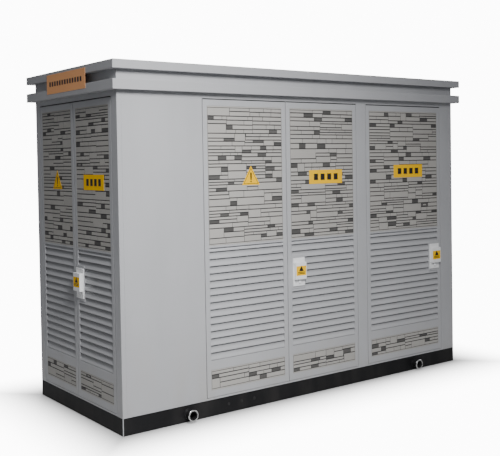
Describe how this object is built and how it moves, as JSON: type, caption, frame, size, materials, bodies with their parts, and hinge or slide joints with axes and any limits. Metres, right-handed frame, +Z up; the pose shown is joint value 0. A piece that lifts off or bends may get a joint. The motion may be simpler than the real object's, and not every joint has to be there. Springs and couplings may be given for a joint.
{
  "type": "pad-mounted transformer",
  "caption": "Box-type transformer kiosk with a clad steel housing, louvred doors with locks, a set-back double cornice roof, a lifting base and switchgear inside.",
  "frame": {"origin": "middle of the base's underside, on the ground", "axes": "+X along the long front towards the low-voltage end, -Y out of the front doors, +Z up"},
  "size_m": [3.198, 1.37, 2.326],
  "materials": {
    "panel_grey": "satin",
    "base_black": "satin",
    "stone_board": "matte",
    "sign_yellow": "gloss",
    "plate_orange": "satin",
    "lock_white": "satin",
    "bright_steel": "satin",
    "galvanised": "matte",
    "tank_green": "satin",
    "insulator": "gloss",
    "switchgear": "satin",
    "breaker_black": "matte"
  },
  "bodies": {
    "housing": {"base_frame": "base_black", "lifting_trunnions": "bright_steel", "floor_plates": "galvanised", "sill_rails": "panel_grey", "ring_beam": "panel_grey", "corner_posts": "panel_grey", "mullion_posts": "panel_grey", "partitions": "galvanised", "hinge_pins": "bright_steel", "hv_side_panels": "panel_grey", "fixed_panels": "panel_grey", "fixed_louvres": "panel_grey", "fixed_boards": "stone_board", "lower_cornice": "panel_grey", "roof_neck": "panel_grey", "roof_cap": "panel_grey", "name_plate": "plate_orange", "transformer_tank": "tank_green", "transformer_skid": "tank_green", "tank_cover": "tank_green", "cooling_fins": "tank_green", "bushings": "insulator", "ring_main_unit": "switchgear", "lv_cabinet": "switchgear", "circuit_breakers": "breaker_black"},
    "hv_left_door": {"hv_left_leaf": "panel_grey", "hv_left_louvres": "panel_grey", "hv_left_boards": "stone_board", "hv_left_sign": "sign_yellow"},
    "hv_right_door": {"hv_right_leaf": "panel_grey", "hv_right_louvres": "panel_grey", "hv_right_boards": "stone_board", "hv_right_sign": "sign_yellow", "hv_right_lock_plate": "lock_white"},
    "hv_right_cover": {"hv_right_lock_cover": "lock_white"},
    "hv_right_handle": {"hv_right_lever": "bright_steel"},
    "hv_right_upper_bolt": {"hv_right_upper_rod": "bright_steel"},
    "hv_right_lower_bolt": {"hv_right_lower_rod": "bright_steel"},
    "tx_left_door": {"tx_left_leaf": "panel_grey", "tx_left_louvres": "panel_grey", "tx_left_boards": "stone_board", "tx_left_sign": "sign_yellow"},
    "tx_right_door": {"tx_right_leaf": "panel_grey", "tx_right_louvres": "panel_grey", "tx_right_boards": "stone_board", "tx_right_sign": "sign_yellow", "tx_right_lock_plate": "lock_white"},
    "tx_right_cover": {"tx_right_lock_cover": "lock_white"},
    "tx_right_handle": {"tx_right_lever": "bright_steel"},
    "tx_right_upper_bolt": {"tx_right_upper_rod": "bright_steel"},
    "tx_right_lower_bolt": {"tx_right_lower_rod": "bright_steel"},
    "lv_door": {"lv_leaf": "panel_grey", "lv_louvres": "panel_grey", "lv_boards": "stone_board", "lv_sign": "sign_yellow", "lv_lock_plate": "lock_white"},
    "lv_cover": {"lv_lock_cover": "lock_white"},
    "lv_handle": {"lv_lever": "bright_steel"},
    "lv_upper_bolt": {"lv_upper_rod": "bright_steel"},
    "lv_lower_bolt": {"lv_lower_rod": "bright_steel"}
  },
  "joints": [
    {"name": "hv_left_door_swing", "type": "hinge", "parent": "housing", "child": "hv_left_door", "pos_m": [-1.538, 0.525, 1.1], "axis": [0, 0, -1], "range_deg": [0, 110]},
    {"name": "hv_right_door_swing", "type": "hinge", "parent": "housing", "child": "hv_right_door", "pos_m": [-1.538, -0.525, 1.1], "axis": [0, 0, 1], "range_deg": [0, 110]},
    {"name": "hv_right_cover_lift", "type": "hinge", "parent": "hv_right_door", "child": "hv_right_cover", "pos_m": [-1.5623, -0.065, 0.96], "axis": [0, 1, 0], "range_deg": [0, 85]},
    {"name": "hv_right_lever_turn", "type": "hinge", "parent": "hv_right_door", "child": "hv_right_handle", "pos_m": [-1.55, -0.065, 0.905], "axis": [1, 0, 0], "range_deg": [0, 90]},
    {"name": "hv_right_upper_rod_slide", "type": "slide", "parent": "hv_right_door", "child": "hv_right_upper_bolt", "axis": [0, 0, 1], "range_m": [0, 0.012]},
    {"name": "hv_right_lower_rod_slide", "type": "slide", "parent": "hv_right_door", "child": "hv_right_lower_bolt", "axis": [0, 0, -1], "range_m": [0, 0.012]},
    {"name": "tx_left_door_swing", "type": "hinge", "parent": "housing", "child": "tx_left_door", "pos_m": [-0.9, -0.613, 1.1], "axis": [0, 0, -1], "range_deg": [0, 110]},
    {"name": "tx_right_door_swing", "type": "hinge", "parent": "housing", "child": "tx_right_door", "pos_m": [0.44, -0.613, 1.1], "axis": [0, 0, 1], "range_deg": [0, 85]},
    {"name": "tx_right_cover_lift", "type": "hinge", "parent": "tx_right_door", "child": "tx_right_cover", "pos_m": [-0.12, -0.6373, 0.96], "axis": [-1, 0, 0], "range_deg": [0, 85]},
    {"name": "tx_right_lever_turn", "type": "hinge", "parent": "tx_right_door", "child": "tx_right_handle", "pos_m": [-0.12, -0.625, 0.905], "axis": [0, 1, 0], "range_deg": [0, 90]},
    {"name": "tx_right_upper_rod_slide", "type": "slide", "parent": "tx_right_door", "child": "tx_right_upper_bolt", "axis": [0, 0, 1], "range_m": [0, 0.012]},
    {"name": "tx_right_lower_rod_slide", "type": "slide", "parent": "tx_right_door", "child": "tx_right_lower_bolt", "axis": [0, 0, -1], "range_m": [0, 0.012]},
    {"name": "lv_door_swing", "type": "hinge", "parent": "housing", "child": "lv_door", "pos_m": [0.585, -0.613, 1.1], "axis": [0, 0, -1], "range_deg": [0, 85]},
    {"name": "lv_cover_lift", "type": "hinge", "parent": "lv_door", "child": "lv_cover", "pos_m": [1.32, -0.6373, 0.96], "axis": [-1, 0, 0], "range_deg": [0, 85]},
    {"name": "lv_lever_turn", "type": "hinge", "parent": "lv_door", "child": "lv_handle", "pos_m": [1.32, -0.625, 0.905], "axis": [0, 1, 0], "range_deg": [0, 90]},
    {"name": "lv_upper_rod_slide", "type": "slide", "parent": "lv_door", "child": "lv_upper_bolt", "axis": [0, 0, 1], "range_m": [0, 0.012]},
    {"name": "lv_lower_rod_slide", "type": "slide", "parent": "lv_door", "child": "lv_lower_bolt", "axis": [0, 0, -1], "range_m": [0, 0.012]}
  ],
  "couplings": [
    {"joint": "hv_right_lower_rod_slide", "follows": "hv_right_upper_rod_slide", "ratio": 1},
    {"joint": "hv_right_lever_turn", "follows": "hv_right_upper_rod_slide", "rad_per_m": 130.77},
    {"joint": "tx_right_lower_rod_slide", "follows": "tx_right_upper_rod_slide", "ratio": 1},
    {"joint": "tx_right_lever_turn", "follows": "tx_right_upper_rod_slide", "rad_per_m": 130.77},
    {"joint": "lv_lower_rod_slide", "follows": "lv_upper_rod_slide", "ratio": 1},
    {"joint": "lv_lever_turn", "follows": "lv_upper_rod_slide", "rad_per_m": 130.77}
  ]
}
